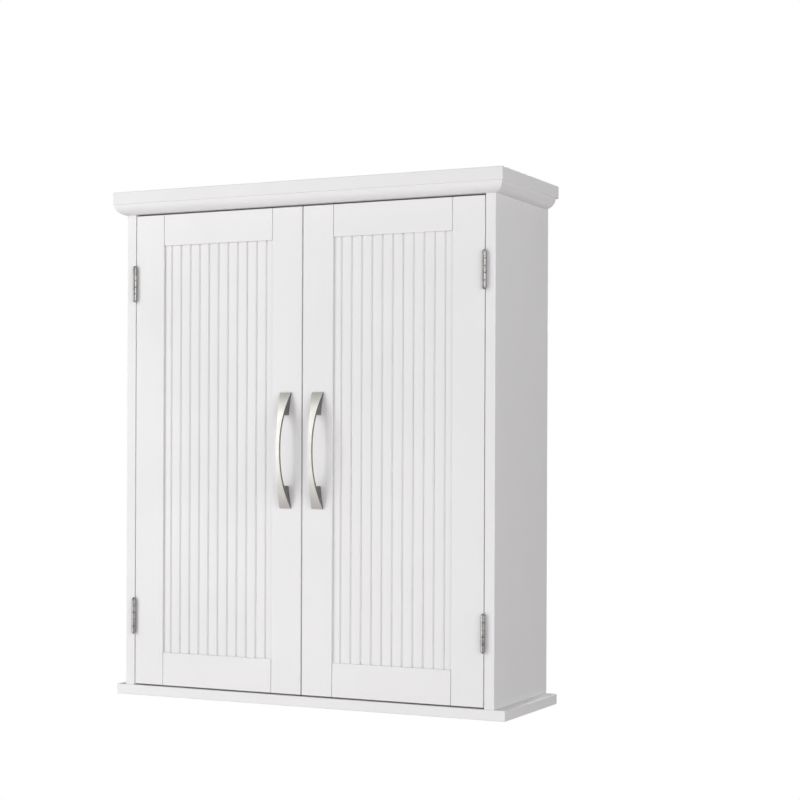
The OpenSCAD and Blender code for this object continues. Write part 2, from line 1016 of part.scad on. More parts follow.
module handle() {
    color("gray")
        difference() {
            translate([handle_x, front_y, door_mid_z])
                intersection() {
                    translate([handle_end_w, 0, 0])
                        rotate([90, 0, -90])
                            linear_extrude(2 * handle_end_w)
                                handle_side_view();
                    rotate([90, 0, 0])
                        translate([0, 0, -1])
                            linear_extrude(handle_out + 2)
                                handle_front_view();
                }
            at_handle_screws()
                cylinder(r = handle_screw_r + hole_fit, h = door_t + handle_thread + hole_room, $fn = 24);
        }
}

module handle_screws() {
    color("silver")
        at_handle_screws()
            head_screw(handle_screw_r, door_t + handle_thread, handle_head_r, handle_head_h);
}

// ---------------------------------------------------------------- nodes

left() side_panel();  // side_panel_left
side_panel();  // side_panel_right
base_board();
top_panel();
crown_board();
crown_moulding_front();
left() crown_moulding_side();  // crown_moulding_left
crown_moulding_side();  // crown_moulding_right
back_panel();
hanging_rail([upper_rail_z, ceiling_z]);  // hanging_rail_upper
hanging_rail([floor_z, lower_rail_z]);  // hanging_rail_lower
dowels();
cam_bolts();
cam_locks();
base_screws();
crown_screws();
back_panel_nails();
shelf();
shelf_pins();
left() frame_leaf(hinge_z[1]);  // frame_leaf_left_upper
left() frame_leaf(hinge_z[0]);  // frame_leaf_left_lower
frame_leaf(hinge_z[1]);  // frame_leaf_right_upper
frame_leaf(hinge_z[0]);  // frame_leaf_right_lower
left() hinge_pin(hinge_z[1]);  // hinge_pin_left_upper
left() hinge_pin(hinge_z[0]);  // hinge_pin_left_lower
hinge_pin(hinge_z[1]);  // hinge_pin_right_upper
hinge_pin(hinge_z[0]);  // hinge_pin_right_lower
frame_leaf_screws();
left() catch_housing();  // catch_housing_left
catch_housing();  // catch_housing_right
left() catch_magnet();  // catch_magnet_left
catch_magnet();  // catch_magnet_right
catch_pole_plates();
catch_screws();
left() hinge_stile();  // left_hinge_stile
left() lock_stile();  // left_lock_stile
left() top_rail();  // left_top_rail
left() bottom_rail();  // left_bottom_rail
left() bead_panel();  // left_bead_panel
left() door_leaf(hinge_z[1]);  // left_door_leaf_upper
left() door_leaf(hinge_z[0]);  // left_door_leaf_lower
left() door_leaf_screws();  // left_door_leaf_screws
left() handle();  // left_handle
left() handle_screws();  // left_handle_screws
left() strike_plate();  // left_strike_plate
left() strike_screw();  // left_strike_screw
hinge_stile();  // right_hinge_stile
lock_stile();  // right_lock_stile
top_rail();  // right_top_rail
bottom_rail();  // right_bottom_rail
bead_panel();  // right_bead_panel
door_leaf(hinge_z[1]);  // right_door_leaf_upper
door_leaf(hinge_z[0]);  // right_door_leaf_lower
door_leaf_screws();  // right_door_leaf_screws
handle();  // right_handle
handle_screws();  // right_handle_screws
strike_plate();  // right_strike_plate
strike_screw();  // right_strike_screw
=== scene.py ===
# Hanging wall cabinet: the finished pieces, their paint and metal, the light and the camera.
# Metres. +Z is up, the doors face -Y and the wall is the plane Y = 0, as in the design.
import json
import math

import bmesh
import bpy
from mathutils import Matrix, Vector


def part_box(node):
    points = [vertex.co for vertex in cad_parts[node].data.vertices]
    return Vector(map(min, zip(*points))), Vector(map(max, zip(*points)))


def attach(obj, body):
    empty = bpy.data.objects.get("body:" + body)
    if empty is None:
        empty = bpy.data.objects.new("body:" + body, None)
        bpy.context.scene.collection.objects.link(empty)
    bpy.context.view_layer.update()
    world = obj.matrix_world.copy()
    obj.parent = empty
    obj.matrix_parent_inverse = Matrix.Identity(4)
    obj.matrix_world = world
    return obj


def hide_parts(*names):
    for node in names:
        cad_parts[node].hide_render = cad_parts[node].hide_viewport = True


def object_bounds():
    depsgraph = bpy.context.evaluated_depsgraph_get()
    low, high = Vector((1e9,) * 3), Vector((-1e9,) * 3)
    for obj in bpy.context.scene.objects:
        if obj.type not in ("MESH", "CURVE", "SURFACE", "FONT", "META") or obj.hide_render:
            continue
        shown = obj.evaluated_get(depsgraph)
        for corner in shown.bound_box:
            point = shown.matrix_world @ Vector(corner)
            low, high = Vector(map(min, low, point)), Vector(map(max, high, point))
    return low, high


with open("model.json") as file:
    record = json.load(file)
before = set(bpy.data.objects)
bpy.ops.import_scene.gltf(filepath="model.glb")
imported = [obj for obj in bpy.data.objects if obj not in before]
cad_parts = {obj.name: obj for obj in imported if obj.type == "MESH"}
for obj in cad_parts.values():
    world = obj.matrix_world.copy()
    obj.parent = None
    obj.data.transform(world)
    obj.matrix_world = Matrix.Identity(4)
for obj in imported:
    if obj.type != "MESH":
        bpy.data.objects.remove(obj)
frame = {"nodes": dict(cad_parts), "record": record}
design_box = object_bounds()

MM = 0.001
X, Y, Z = Vector((1, 0, 0)), Vector((0, 1, 0)), Vector((0, 0, 1))

# Roundings of the painted edges
CROWN_EDGE = 0.9 * MM
BOARD_EDGE = 0.6 * MM
JOINT_EDGE = 0.75 * MM
INNER_EDGE = 0.4 * MM
BACK_EDGE = 0.2 * MM
SHELF_EDGE = 0.9 * MM
BEAD_EDGE = 0.3 * MM

# How near two corners lie when they count as one place, and how far a face may lean
SAME_PLACE = 0.01 * MM
SAME_CORNER = 0.02 * MM
FACES_FRONT = 0.5
# The next lean picks the handle faces turned sideways, which get the darker nickel copy as painted shade.
FACES_PAINTED_SHADE = 0.75


# ---------------------------------------------------------------- modelling helpers


def clear_selection():
    if bpy.context.object and bpy.context.object.mode != "OBJECT":
        bpy.ops.object.mode_set(mode="OBJECT")
    bpy.ops.object.select_all(action="DESELECT")


def make_active(piece):
    clear_selection()
    piece.select_set(True)
    bpy.context.view_layer.objects.active = piece


def name_new(name):
    piece = bpy.context.object
    piece.name = piece.data.name = name
    bpy.ops.object.transform_apply(location=True, rotation=True, scale=True)
    return piece


def block(name, low, high):
    """A rectangular blank between two corners."""
    clear_selection()
    low, high = Vector(low), Vector(high)
    bpy.ops.mesh.primitive_cube_add(size=1, location=(low + high) / 2, scale=high - low)
    return name_new(name)


def rod(name, start, direction, radius, length, sides=32, end_radius=None):
    """A round blank that starts at a point and runs along a direction."""
    clear_selection()
    turn = Vector(direction).to_track_quat("Z", "Y").to_euler()
    middle = Vector(start) + Vector(direction) * (length / 2)
    bpy.ops.mesh.primitive_cone_add(
        vertices=sides,
        radius1=radius,
        radius2=radius if end_radius is None else end_radius,
        depth=length,
        location=middle,
        rotation=turn,
    )
    return name_new(name)


def pick(piece, faces=None, edges=None, verts=None):
    """Edit mode, with only the faces, edges or corners selected that the test accepts."""
    make_active(piece)
    bpy.ops.object.mode_set(mode="EDIT")
    kind = "FACE" if faces else "EDGE" if edges else "VERT"
    bpy.ops.mesh.select_mode(type=kind)
    bpy.ops.mesh.select_all(action="DESELECT")
    shape = bmesh.from_edit_mesh(piece.data)
    for face in shape.faces if faces else []:
        face.select_set(faces(face))
    for edge in shape.edges if edges else []:
        edge.select_set(edges(edge))
    for vert in shape.verts if verts else []:
        vert.select_set(verts(vert))
    shape.select_flush_mode()
    bmesh.update_edit_mesh(piece.data)


def leave_edit():
    bpy.ops.object.mode_set(mode="OBJECT")


def round_edges(piece, width, segments=3, where=lambda edge: True, sharp=30):
    """Rounds the sharp edges that a test accepts."""
    limit = math.radians(sharp)

    def wanted(edge):
        return edge.is_manifold and edge.calc_face_angle(0) > limit and where(edge)

    pick(piece, edges=wanted)
    bpy.ops.mesh.bevel(offset=width, segments=segments, profile=0.5, affect="EDGES", clamp_overlap=True)
    leave_edit()


def cut_away(piece, *cutters):
    """Removes the cutters' shapes from a piece."""
    for cutter in cutters:
        make_active(piece)
        cut = piece.modifiers.new("cut", "BOOLEAN")
        cut.operation = "DIFFERENCE"
        cut.solver = "EXACT"
        cut.object = cutter
        bpy.ops.object.modifier_apply(modifier=cut.name)
        bpy.data.objects.remove(cutter, do_unlink=True)


def add_on(piece, *others):
    """Joins other blanks to a piece as one closed solid."""
    for other in others:
        make_active(piece)
        weld = piece.modifiers.new("weld", "BOOLEAN")
        weld.operation = "UNION"
        weld.solver = "EXACT"
        weld.object = other
        bpy.ops.object.modifier_apply(modifier=weld.name)
        bpy.data.objects.remove(other, do_unlink=True)


def smooth(piece, angle=40):
    """Smooth shading that keeps flat faces flat and hard corners hard."""
    make_active(piece)
    bpy.ops.object.shade_smooth_by_angle(angle=math.radians(angle))
    flat = piece.modifiers.new("flat", "WEIGHTED_NORMAL")
    flat.keep_sharp = True
    flat.weight = 80
    bpy.ops.object.modifier_apply(modifier=flat.name)


def finish_piece(piece, material, nodes, body):
    """Gives a piece its finish, hides the design nodes that it stands for, and attaches it to the body
    that it moves with.
    """
    piece.data.materials.clear()
    for finish in material if isinstance(material, (list, tuple)) else [material]:
        piece.data.materials.append(finish)
    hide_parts(*nodes)
    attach(piece, body)
    return piece


# ---------------------------------------------------------------- material helpers


def new_material(name, colour, roughness, metallic=0.0):
    """A material with a Principled shader, and that shader."""
    material = bpy.data.materials.new(name)
    material.use_nodes = True
    shader = material.node_tree.nodes["Principled BSDF"]
    shader.inputs["Base Color"].default_value = (*colour, 1)
    shader.inputs["Roughness"].default_value = roughness
    shader.inputs["Metallic"].default_value = metallic
    return material, shader


def new_effect(name, inputs, outputs):
    """An empty node group with named inputs (name, kind, value) and outputs (name, kind)."""
    group = bpy.data.node_groups.new(name, "ShaderNodeTree")
    for label, kind, value in inputs:
        socket = group.interface.new_socket(label, in_out="INPUT", socket_type=kind)
        if value is not None:
            socket.default_value = value
    for label, kind in outputs:
        group.interface.new_socket(label, in_out="OUTPUT", socket_type=kind)
    start = group.nodes.new("NodeGroupInput")
    end = group.nodes.new("NodeGroupOutput")
    return group, start, end


def node(tree, kind, links=(), **values):
    """A node whose settings and input values are given by name, linked to (input, socket) pairs."""
    made = tree.nodes.new(kind)
    for key, value in values.items():
        label = key.replace("_", " ").title()
        if label in made.inputs:
            made.inputs[label].default_value = value
        else:
            setattr(made, key, value)
    for target, source in links:
        tree.links.new(source, made.inputs[target])
    return made


def place(material, effect, **values):
    """Puts an effect group in a material, with its input values by name."""
    tree = material.node_tree
    made = tree.nodes.new("ShaderNodeGroup")
    made.node_tree = effect
    for key, value in values.items():
        made.inputs[key.replace("_", " ")].default_value = value
    return made


# ---------------------------------------------------------------- effects shared by materials


def make_fine_texture():
    """Small bumps at two sizes, such as sprayed paint or moulded plastic has."""
    group, start, end = new_effect(
        "fine_texture",
        [
            ("Position", "NodeSocketVector", None),
            ("Grain Scale", "NodeSocketFloat", 900.0),
            ("Swell Scale", "NodeSocketFloat", 60.0),
            ("Swell Share", "NodeSocketFloat", 0.4),
        ],
        [("Height", "NodeSocketFloat")],
    )
    grain = node(group, "ShaderNodeTexNoise", detail=3.0, roughness=0.55)
    group.links.new(start.outputs["Position"], grain.inputs["Vector"])
    group.links.new(start.outputs["Grain Scale"], grain.inputs["Scale"])
    swell = node(group, "ShaderNodeTexNoise", detail=2.0, roughness=0.5)
    group.links.new(start.outputs["Position"], swell.inputs["Vector"])
    group.links.new(start.outputs["Swell Scale"], swell.inputs["Scale"])
    blend = group.nodes.new("ShaderNodeMix")
    group.links.new(start.outputs["Swell Share"], blend.inputs["Factor"])
    group.links.new(grain.outputs["Fac"], blend.inputs["A"])
    group.links.new(swell.outputs["Fac"], blend.inputs["B"])
    group.links.new(blend.outputs["Result"], end.inputs["Height"])
    return group


def make_tone_drift():
    """A colour that drifts slowly between two tones, with small darker or lighter flecks."""
    group, start, end = new_effect(
        "tone_drift",
        [
            ("Position", "NodeSocketVector", None),
            ("Tone A", "NodeSocketColor", (0.8, 0.8, 0.8, 1)),
            ("Tone B", "NodeSocketColor", (0.7, 0.7, 0.7, 1)),
            ("Fleck Tone", "NodeSocketColor", (0.5, 0.5, 0.5, 1)),
            ("Drift Scale", "NodeSocketFloat", 6.0),
            ("Fleck Scale", "NodeSocketFloat", 300.0),
            ("Fleck Amount", "NodeSocketFloat", 0.2),
        ],
        [("Color", "NodeSocketColor"), ("Drift", "NodeSocketFloat")],
    )
    drift = node(group, "ShaderNodeTexNoise", detail=4.0, roughness=0.6)
    group.links.new(start.outputs["Position"], drift.inputs["Vector"])
    group.links.new(start.outputs["Drift Scale"], drift.inputs["Scale"])
    slow = [("Value", drift.outputs["Fac"])]
    spread = node(group, "ShaderNodeMapRange", slow, interpolation_type="SMOOTHSTEP")
    spread.inputs["From Min"].default_value = 0.3
    spread.inputs["From Max"].default_value = 0.7
    tones = group.nodes.new("ShaderNodeMix")
    tones.data_type = "RGBA"
    group.links.new(spread.outputs["Result"], tones.inputs["Factor"])
    group.links.new(start.outputs["Tone A"], tones.inputs[6])
    group.links.new(start.outputs["Tone B"], tones.inputs[7])
    fleck = node(group, "ShaderNodeTexNoise", detail=2.0, roughness=0.7)
    group.links.new(start.outputs["Position"], fleck.inputs["Vector"])
    group.links.new(start.outputs["Fleck Scale"], fleck.inputs["Scale"])
    quick = [("Value", fleck.outputs["Fac"])]
    peak = node(group, "ShaderNodeMapRange", quick, interpolation_type="SMOOTHSTEP")
    peak.inputs["From Min"].default_value = 0.55
    peak.inputs["From Max"].default_value = 0.8
    amount = node(group, "ShaderNodeMath", operation="MULTIPLY")
    group.links.new(peak.outputs["Result"], amount.inputs[0])
    group.links.new(start.outputs["Fleck Amount"], amount.inputs[1])
    flecked = group.nodes.new("ShaderNodeMix")
    flecked.data_type = "RGBA"
    group.links.new(amount.outputs[0], flecked.inputs["Factor"])
    group.links.new(tones.outputs[2], flecked.inputs[6])
    group.links.new(start.outputs["Fleck Tone"], flecked.inputs[7])
    group.links.new(flecked.outputs[2], end.inputs["Color"])
    group.links.new(spread.outputs["Result"], end.inputs["Drift"])
    return group


def make_brushed_lines():
    """Fine parallel lines, and a mask of where they are deeper. Stretch is small along the lines."""
    group, start, end = new_effect(
        "brushed_lines",
        [
            ("Position", "NodeSocketVector", None),
            ("Stretch", "NodeSocketVector", (1.0, 1.0, 0.02)),
            ("Line Scale", "NodeSocketFloat", 2500.0),
        ],
        [("Height", "NodeSocketFloat"), ("Mask", "NodeSocketFloat")],
    )
    drawn = node(group, "ShaderNodeVectorMath", operation="MULTIPLY")
    group.links.new(start.outputs["Position"], drawn.inputs[0])
    group.links.new(start.outputs["Stretch"], drawn.inputs[1])
    lines = node(group, "ShaderNodeTexNoise", detail=4.0, roughness=0.7)
    group.links.new(drawn.outputs[0], lines.inputs["Vector"])
    group.links.new(start.outputs["Line Scale"], lines.inputs["Scale"])
    patches = node(group, "ShaderNodeTexNoise", scale=90.0, detail=3.0, roughness=0.6)
    group.links.new(start.outputs["Position"], patches.inputs["Vector"])
    mask = node(group, "ShaderNodeMath", operation="MULTIPLY")
    group.links.new(lines.outputs["Fac"], mask.inputs[0])
    group.links.new(patches.outputs["Fac"], mask.inputs[1])
    group.links.new(lines.outputs["Fac"], end.inputs["Height"])
    group.links.new(mask.outputs[0], end.inputs["Mask"])
    return group


def make_rough_range():
    """Turns a mask into a roughness between two values."""
    group, start, end = new_effect(
        "rough_range",
        [
            ("Mask", "NodeSocketFloat", 0.5),
            ("Smoothest", "NodeSocketFloat", 0.3),
            ("Roughest", "NodeSocketFloat", 0.5),
        ],
        [("Roughness", "NodeSocketFloat")],
    )
    spread = group.nodes.new("ShaderNodeMapRange")
    group.links.new(start.outputs["Mask"], spread.inputs["Value"])
    group.links.new(start.outputs["Smoothest"], spread.inputs["To Min"])
    group.links.new(start.outputs["Roughest"], spread.inputs["To Max"])
    group.links.new(spread.outputs["Result"], end.inputs["Roughness"])
    return group


FINE_TEXTURE = make_fine_texture()
TONE_DRIFT = make_tone_drift()
BRUSHED_LINES = make_brushed_lines()
ROUGH_RANGE = make_rough_range()


def wire(material, shader, tone=None, texture=None, brushed=None, rough=None, depth=0.0):
    """Connects shared effects to a shader: tone to colour, the others to bump and roughness."""
    tree = material.node_tree
    place_on = tree.nodes.new("ShaderNodeTexCoord").outputs["Object"]
    mask = height = None
    if tone:
        drift = place(material, TONE_DRIFT, **tone)
        tree.links.new(place_on, drift.inputs["Position"])
        tree.links.new(drift.outputs["Color"], shader.inputs["Base Color"])
        mask = drift.outputs["Drift"]
    if texture:
        fine = place(material, FINE_TEXTURE, **texture)
        tree.links.new(place_on, fine.inputs["Position"])
        height = fine.outputs["Height"]
    if brushed:
        lines = place(material, BRUSHED_LINES, **brushed)
        tree.links.new(place_on, lines.inputs["Position"])
        height, mask = lines.outputs["Height"], lines.outputs["Mask"]
    if rough and mask:
        spread = place(material, ROUGH_RANGE, Smoothest=rough[0], Roughest=rough[1])
        tree.links.new(mask, spread.inputs["Mask"])
        tree.links.new(spread.outputs["Roughness"], shader.inputs["Roughness"])
    if height:
        bump = node(tree, "ShaderNodeBump", [("Height", height)], strength=1.0, distance=depth)
        tree.links.new(bump.outputs["Normal"], shader.inputs["Normal"])


# ---------------------------------------------------------------- materials


def white_paint():
    material, shader = new_material("white_satin_paint", (0.84, 0.84, 0.84), 0.42)
    wire(
        material,
        shader,
        tone={
            "Tone_A": (0.850, 0.848, 0.850, 1),
            "Tone_B": (0.825, 0.824, 0.826, 1),
            "Fleck_Tone": (0.78, 0.78, 0.78, 1),
            "Drift_Scale": 5.0,
            "Fleck_Scale": 700.0,
            "Fleck_Amount": 0.12,
        },
        texture={"Grain_Scale": 1400.0, "Swell_Scale": 110.0, "Swell_Share": 0.55},
        rough=(0.38, 0.50),
        depth=0.00006,
    )
    return material


def bare_hardboard():
    material, shader = new_material("bare_hardboard", (0.36, 0.25, 0.16), 0.75)
    wire(
        material,
        shader,
        tone={
            "Tone_A": (0.36, 0.245, 0.150, 1),
            "Tone_B": (0.30, 0.200, 0.120, 1),
            "Fleck_Tone": (0.15, 0.09, 0.05, 1),
            "Drift_Scale": 45.0,
            "Fleck_Scale": 420.0,
            "Fleck_Amount": 0.7,
        },
        rough=(0.68, 0.85),
    )
    tree = material.node_tree
    coords = tree.nodes.new("ShaderNodeTexCoord")
    weave = tree.nodes.new("ShaderNodeMath")
    weave.operation = "MAXIMUM"
    for index, axis in enumerate(("X", "Z")):
        along = [("Vector", coords.outputs["Object"])]
        screen = node(tree, "ShaderNodeTexWave", along, scale=260.0, distortion=0.6)
        screen.bands_direction = axis
        tree.links.new(screen.outputs["Fac"], weave.inputs[index])
    bump = node(tree, "ShaderNodeBump", [("Height", weave.outputs[0])], strength=0.7, distance=0.00015)
    tree.links.new(bump.outputs["Normal"], shader.inputs["Normal"])
    return material


def beech():
    material, shader = new_material("beech_dowel", (0.55, 0.38, 0.22), 0.6)
    wire(
        material,
        shader,
        tone={
            "Tone_A": (0.56, 0.39, 0.23, 1),
            "Tone_B": (0.46, 0.30, 0.17, 1),
            "Fleck_Tone": (0.30, 0.18, 0.10, 1),
            "Drift_Scale": 220.0,
            "Fleck_Scale": 1500.0,
            "Fleck_Amount": 0.5,
        },
        texture={"Grain_Scale": 2500.0, "Swell_Scale": 500.0, "Swell_Share": 0.5},
        rough=(0.5, 0.7),
        depth=0.00005,
    )
    return material


def satin_nickel(name, light, dark, rough):
    """Brushed along its length, with a slow drift between a lighter and a darker tone."""
    material, shader = new_material(name, light, 0.4, 1.0)
    wire(
        material,
        shader,
        tone={
            "Tone_A": (*light, 1),
            "Tone_B": (*dark, 1),
            "Fleck_Tone": tuple(0.8 * part for part in dark) + (1,),
            "Drift_Scale": 40.0,
            "Fleck_Scale": 900.0,
            "Fleck_Amount": 0.25,
        },
        brushed={"Stretch": (1.0, 1.0, 0.03), "Line_Scale": 2600.0},
        rough=rough,
        depth=0.00003,
    )
    return material


def polished_nickel():
    material, shader = new_material("polished_nickel", (0.34, 0.335, 0.325), 0.3, 1.0)
    wire(
        material,
        shader,
        tone={
            "Tone_A": (0.42, 0.415, 0.40, 1),
            "Tone_B": (0.26, 0.257, 0.25, 1),
            "Fleck_Tone": (0.14, 0.135, 0.13, 1),
            "Drift_Scale": 120.0,
            "Fleck_Scale": 1800.0,
            "Fleck_Amount": 0.5,
        },
        brushed={"Stretch": (1.0, 0.3, 0.08), "Line_Scale": 1800.0},
        rough=(0.18, 0.34),
        depth=0.00002,
    )
    return material


def plated_steel(name, tint, dark):
    material, shader = new_material(name, tint, 0.35, 1.0)
    wire(
        material,
        shader,
        tone={
            "Tone_A": (*tint, 1),
            "Tone_B": (*dark, 1),
            "Fleck_Tone": tuple(0.6 * part for part in dark) + (1,),
            "Drift_Scale": 260.0,
            "Fleck_Scale": 1600.0,
            "Fleck_Amount": 0.4,
        },
        brushed={"Stretch": (1.0, 1.0, 1.0), "Line_Scale": 1200.0},
        rough=(0.25, 0.5),
        depth=0.00002,
    )
    return material


def catch_plastic():
    material, shader = new_material("catch_plastic", (0.78, 0.78, 0.76), 0.5)
    wire(
        material,
        shader,
        tone={
            "Tone_A": (0.79, 0.79, 0.765, 1),
            "Tone_B": (0.75, 0.75, 0.72, 1),
            "Fleck_Tone": (0.66, 0.66, 0.62, 1),
            "Drift_Scale": 60.0,
            "Fleck_Scale": 2000.0,
            "Fleck_Amount": 0.3,
        },
        texture={"Grain_Scale": 4500.0, "Swell_Scale": 400.0, "Swell_Share": 0.3},
        rough=(0.42, 0.6),
        depth=0.00004,
    )
    return material


def ferrite():
    material, shader = new_material("ferrite", (0.03, 0.03, 0.033), 0.6)
    wire(
        material,
        shader,
        tone={
            "Tone_A": (0.030, 0.030, 0.033, 1),
            "Tone_B": (0.045, 0.044, 0.046, 1),
            "Fleck_Tone": (0.14, 0.14, 0.15, 1),
            "Drift_Scale": 150.0,
            "Fleck_Scale": 2600.0,
            "Fleck_Amount": 0.5,
        },
        texture={"Grain_Scale": 3200.0, "Swell_Scale": 600.0, "Swell_Share": 0.4},
        rough=(0.5, 0.7),
        depth=0.00006,
    )
    return material


PAINT = white_paint()
HARDBOARD = bare_hardboard()
BEECH = beech()
SATIN_NICKEL = satin_nickel("satin_nickel", (0.64, 0.635, 0.60), (0.58, 0.575, 0.545), (0.36, 0.58))
# A darker copy of the same satin nickel for the handle's side faces: painted shade and painted dark
# reflection, not a different metal.
NICKEL_PAINTED_SHADE = satin_nickel("satin_nickel_painted_shade", (0.30, 0.29, 0.27), (0.24, 0.235, 0.22), (0.30, 0.50))
POLISHED_NICKEL = polished_nickel()
ZINC_PLATE = plated_steel("zinc_plate", (0.62, 0.64, 0.66), (0.52, 0.53, 0.54))
CATCH_STEEL = plated_steel("catch_steel", (0.64, 0.64, 0.63), (0.56, 0.56, 0.55))
ZINC_ALLOY = plated_steel("zinc_alloy", (0.44, 0.44, 0.45), (0.34, 0.34, 0.35))
PLASTIC = catch_plastic()
FERRITE = ferrite()

SLOT_FINISH = {
    "painted_board": PAINT,
    "hardboard": HARDBOARD,
    "dowel_wood": BEECH,
    "zinc_alloy": ZINC_ALLOY,
    "plated_steel": ZINC_PLATE,
    "hinge_steel": POLISHED_NICKEL,
    "catch_plastic": PLASTIC,
    "ferrite": FERRITE,
    "catch_steel": CATCH_STEEL,
    "satin_nickel": SATIN_NICKEL,
}


def dress_design_nodes():
    """Gives every node that stays in sight the finish of its material slot."""
    slots = {row["node"]: row["material_slot"] for row in frame["record"]["subparts"]}
    for name, part in frame["nodes"].items():
        part.data.materials.clear()
        part.data.materials.append(SLOT_FINISH[slots[name]])


# ---------------------------------------------------------------- measures taken from the design

HINGE_CLEAR = 0.3 * MM
LEAF_THICK = 1.0 * MM
LEAF_WIDTH = 12.0 * MM
BARREL_RADIUS = 2.5 * MM
PIN_BORE = 1.15 * MM
HINGE_PIN_RADIUS = 1.1 * MM
KNUCKLES = 5
KNUCKLE_EDGE = 0.3 * MM
CAP_COLLAR = 0.35
CAP_TIP = 0.389
PIN_RUN_IN = 0.25
LEAF_SCREW_PLACE = 0.3
LEAF_SCREW_RADIUS = 1.25 * MM
LEAF_SCREW_HEAD = 2.125 * MM
BOARD_SCREW_RADIUS = 2.0 * MM
BOARD_SCREW_HEAD = 4.0 * MM
FIT = 0.05 * MM
FIXING_RADIUS = 2.5 * MM
NAIL_HEAD = 1.8 * MM
NAIL_HEAD_THICK = 0.6 * MM
CAM_RADIUS = 6.0 * MM
CAM_DEPTH = 9.5 * MM
PIN_RADIUS = 2.5 * MM
PIN_COLLAR = 3.5 * MM
PIN_DEPTH = 8.5 * MM
PIN_ROW_PITCH = 50 * MM
PIN_ROWS = 3
BEAD_PITCH = 13 * MM
BEAD_WIDTH = 2.8 * MM
BEAD_DEPTH = 2.0 * MM
BEADS_EACH_SIDE = 5
PANEL_LAP = 5 * MM
TONGUE = 6 * MM
SHOULDER_GAP = 0.5 * MM
PANEL_SLACK = 0.35 * MM
HANDLE_EDGE = 1.5 * MM
HANDLE_WAIST = 4.6 * MM
HANDLE_WAIST_LENGTH = 24 * MM
HANDLE_TAPER = 65 * MM
HANDLE_STRAP = 3.4 * MM
HANDLE_FOOT = 26.5 * MM
HANDLE_EDGE_ROUND = 0.35 * MM
HANDLE_STEPS = 24


def low(name):
    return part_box(name)[0]


def high(name):
    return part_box(name)[1]


def middle(name):
    return (low(name) + high(name)) / 2


FRONT = low("side_panel_right").y
SIDES = {"left": -1, "right": 1}


# ---------------------------------------------------------------- carcass pieces


def board(name, design, edge=BOARD_EDGE):
    """A painted board with rounded edges, at the size of its design node."""
    piece = block(name, *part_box(design))
    round_edges(piece, edge)
    return piece


def screw_seat(place, direction, head, shank):
    """A cutter for a countersunk screw whose head is flush at a place."""
    lead = 0.5 * MM
    start = Vector(place) - Vector(direction) * lead
    return rod("seat", start, direction, head + FIT + lead, lead + head - shank, 24, shank + FIT)


def drill(place, direction, radius, depth, lead=1 * MM, sides=32):
    """A cutter for a straight hole that starts at a place."""
    return rod("drill", Vector(place) - Vector(direction) * lead, direction, radius, depth + lead, sides)


def corner_places(design, inset):
    """The X, Y and Z values a little inside the ends of a node that holds several fasteners."""
    start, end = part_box(design)
    return [(start[axis] + inset, end[axis] - inset) for axis in range(3)]


def hinge_axis(side, level):
    return middle(f"hinge_pin_{side}_{level}")


def leaf_seat(side, level, towards):
    """A cutter for the recess of a hinge leaf. Towards is 1 for the frame and -1 for the door."""
    axis = hinge_axis(side, level)
    start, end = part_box(f"frame_leaf_{side}_{level}")
    spread = SIDES[side] * towards * (HINGE_CLEAR / 2 + LEAF_THICK)
    inner = axis.x
    outer = axis.x + spread
    return block(
        "leaf_seat",
        (min(inner, outer), FRONT - 1 * MM, start.z),
        (max(inner, outer), end.y, end.z),
    )


def side_board(side):
    piece = board(f"side_board_{side}", f"side_panel_{side}")
    sign = SIDES[side]
    inner = sign * abs(low("side_panel_right").x)
    back_low, back_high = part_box("back_panel")
    cut_away(piece, block("rebate", back_low, back_high + Y * MM + Z * MM))
    pins = middle("shelf_pins")
    _, rows_y, _ = corner_places("shelf_pins", PIN_COLLAR)
    for row in range(PIN_ROWS):
        height = pins.z + (row - (PIN_ROWS - 1) / 2) * PIN_ROW_PITCH
        for y in rows_y:
            cut_away(piece, drill((inner, y, height), X * sign, PIN_RADIUS + FIT, PIN_DEPTH))
    for level in ("upper", "lower"):
        cut_away(piece, leaf_seat(side, level, 1))
    smooth(piece)
    return finish_piece(piece, PAINT, [f"side_panel_{side}"], "carcass")


def base():
    piece = board("base_shelf_board", "base_board", CROWN_EDGE)
    xs, ys, _ = corner_places("base_screws", BOARD_SCREW_HEAD)
    bottom = low("base_board").z
    for x in xs:
        for y in (ys[0], sum(ys) / 2, ys[1]):
            cut_away(piece, screw_seat((x, y, bottom), Z, BOARD_SCREW_HEAD, BOARD_SCREW_RADIUS))
    smooth(piece)
    return finish_piece(piece, PAINT, ["base_board"], "carcass")


def crown():
    piece = board("crown_top_board", "crown_board", CROWN_EDGE)
    smooth(piece)
    return finish_piece(piece, PAINT, ["crown_board"], "carcass")


def ceiling():
    piece = board("ceiling_board", "top_panel", INNER_EDGE)
    under = low("top_panel").z
    xs, ys, _ = corner_places("crown_screws", BOARD_SCREW_HEAD)
    for x in xs:
        for y in ys:
            cut_away(piece, screw_seat((x, y, under), Z, BOARD_SCREW_HEAD, BOARD_SCREW_RADIUS))
    xs, ys, _ = corner_places("cam_locks", CAM_RADIUS)
    for x in xs:
        for y in ys:
            cut_away(piece, drill((x, y, under), Z, CAM_RADIUS + FIT, CAM_DEPTH, sides=48))
    smooth(piece)
    return finish_piece(piece, PAINT, ["top_panel"], "carcass")


def fixing_places():
    """X and Z of the four wall-fixing holes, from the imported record."""
    mount = next(row for row in frame["record"]["mounts"] if row["name"] == "wall_fixing")
    half_x = mount["dims"]["spacing_x_mm"] * MM / 2
    half_z = mount["dims"]["spacing_y_mm"] * MM / 2
    return [(x, z) for x in (-half_x, half_x) for z in (-half_z, half_z)]


def nail_places():
    xs, _, zs = corner_places("back_panel_nails", NAIL_HEAD)
    step = (zs[1] - zs[0]) / 4
    along_sides = [(x, zs[0] + i * step) for x in xs for i in range(5)]
    rail_x = max(x for x, _ in fixing_places()) / 2
    along_rails = [(x, z) for x in (-rail_x, 0, rail_x) for z in zs]
    return along_sides + along_rails


